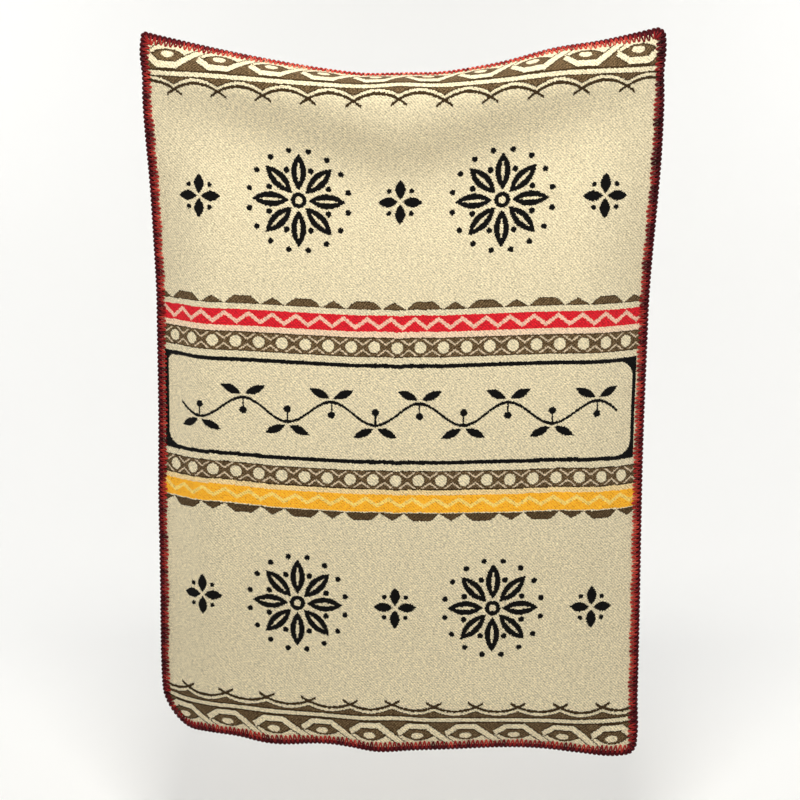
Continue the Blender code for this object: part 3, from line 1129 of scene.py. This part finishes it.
def make_knots(material, stitches):
    """The knots along the edge, one to a stitch, that lean the same way and nearly touch."""
    pairs = np.arange(stitches)
    middle = Edge(pairs / stitches)
    after = Edge(((pairs + KNOT_AHEAD) % stitches) / stitches)
    centres = middle.points(KNOT_DEPTH, 0.0)
    along = unit(after.points(KNOT_DEPTH, 0.0) - centres)
    inward = middle.points(KNOT_INWARD, 0.0) - centres
    inward = unit(inward - along * (inward * along).sum(axis=1, keepdims=True))
    front = np.cross(along, inward)
    lean = along * KNOT_LEAN[0] + inward * KNOT_LEAN[1]
    across = inward * KNOT_LEAN[0] - along * KNOT_LEAN[1]
    points, faces = [], []
    for ring in range(KNOT_RINGS):
        turn = math.pi * (ring + KNOT_END) / (KNOT_RINGS - 1 + 2.0 * KNOT_END)
        for place in range(KNOT_SIDES):
            angle = 2.0 * math.pi * place / KNOT_SIDES
            shift = lean * (math.cos(turn) * KNOT_SIZE[0])
            shift = shift + across * (math.sin(turn) * math.cos(angle) * KNOT_SIZE[1])
            shift = shift + front * (math.sin(turn) * math.sin(angle) * KNOT_SIZE[2])
            points.append(centres + shift)
    points = np.stack(points, axis=1)
    size = KNOT_RINGS * KNOT_SIDES
    for k in range(stitches):
        faces += tube_faces(k * size, KNOT_RINGS, KNOT_SIDES)
    knots = make_mesh("yarn_knots", points.reshape(-1, 3), faces, material)
    # The knots share the stitches' tones, the painted light along the top edge included
    tones = stitch_tones_and_light(stitches) * KNOT_TONE_SHARE + KNOT_TONE_BASE
    add_values(knots, "tone", np.repeat(tones, size))
    return knots


def make_stage():
    """A pale floor that sweeps up into a backdrop."""
    floor, back, radius, half = cad_low.z - STAGE_DROP, STAGE_BACK, STAGE_SWEEP, STAGE_HALF
    profile = [(STAGE_FRONT, floor), (back - radius, floor)]
    profile += [
        (back - radius + radius * math.sin(turn), floor + radius * (1.0 - math.cos(turn)))
        for turn in np.radians(np.arange(STAGE_TURN, 90.0, STAGE_TURN))
    ]
    profile += [(back, floor + radius), (back, floor + STAGE_HIGH)]
    points = np.array([(x, y, z) for x in (-half, half) for y, z in profile])
    count = len(profile)
    faces = [(i, i + count, i + count + 1, i + 1) for i in range(count - 1)]
    material = bpy.data.materials.new("pale_stage")
    material.use_nodes = True
    shader = material.node_tree.nodes["Principled BSDF"]
    shader.inputs["Base Color"].default_value = (*STAGE_COLOUR, 1.0)
    shader.inputs["Roughness"].default_value = STAGE_ROUGHNESS
    make_mesh("pale_stage", points, faces, material)


def area_light(name, colour, place, aim, size, power):
    data = bpy.data.lights.new(name, "AREA")
    data.shape = "RECTANGLE"
    data.size, data.size_y = size
    data.energy = power
    data.color = colour
    light = bpy.data.objects.new(name, data)
    light.location = place
    light.rotation_euler = (Vector(aim) - Vector(place)).to_track_quat("-Z", "Y").to_euler()
    bpy.context.scene.collection.objects.link(light)


def make_lights():
    world = bpy.data.worlds.new("studio")
    world.use_nodes = True
    sky = world.node_tree.nodes["Background"]
    sky.inputs["Color"].default_value = (*PLAIN_WHITE, 1.0)
    sky.inputs["Strength"].default_value = SKY_STRENGTH
    bpy.context.scene.world = world
    area_light("key", WARM_WHITE, *KEY_LIGHT)
    area_light("low", WARM_WHITE, *LOW_LIGHT)
    area_light("backdrop_left", PLAIN_WHITE, *LEFT_LIGHT)
    area_light("backdrop_right", PLAIN_WHITE, *RIGHT_LIGHT)


bpy.context.scene.view_settings.view_transform = "Standard"
make_camera()
make_stage()
make_lights()
cloth = make_cloth(cloth_material())
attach(cloth, "root")
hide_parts("blanket")
yarn = yarn_material()
stitch_count = round(Edge(np.array([0.0])).total / STITCH)
yarn_pieces = [
    make_wrap(yarn, stitch_count),
    make_legs("yarn_legs_front", yarn, stitch_count, 1.0),
    make_legs("yarn_legs_back", yarn, stitch_count, -1.0),
    make_knots(yarn, stitch_count),
]
for piece in yarn_pieces:
    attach(piece, "root")
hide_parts("edging")
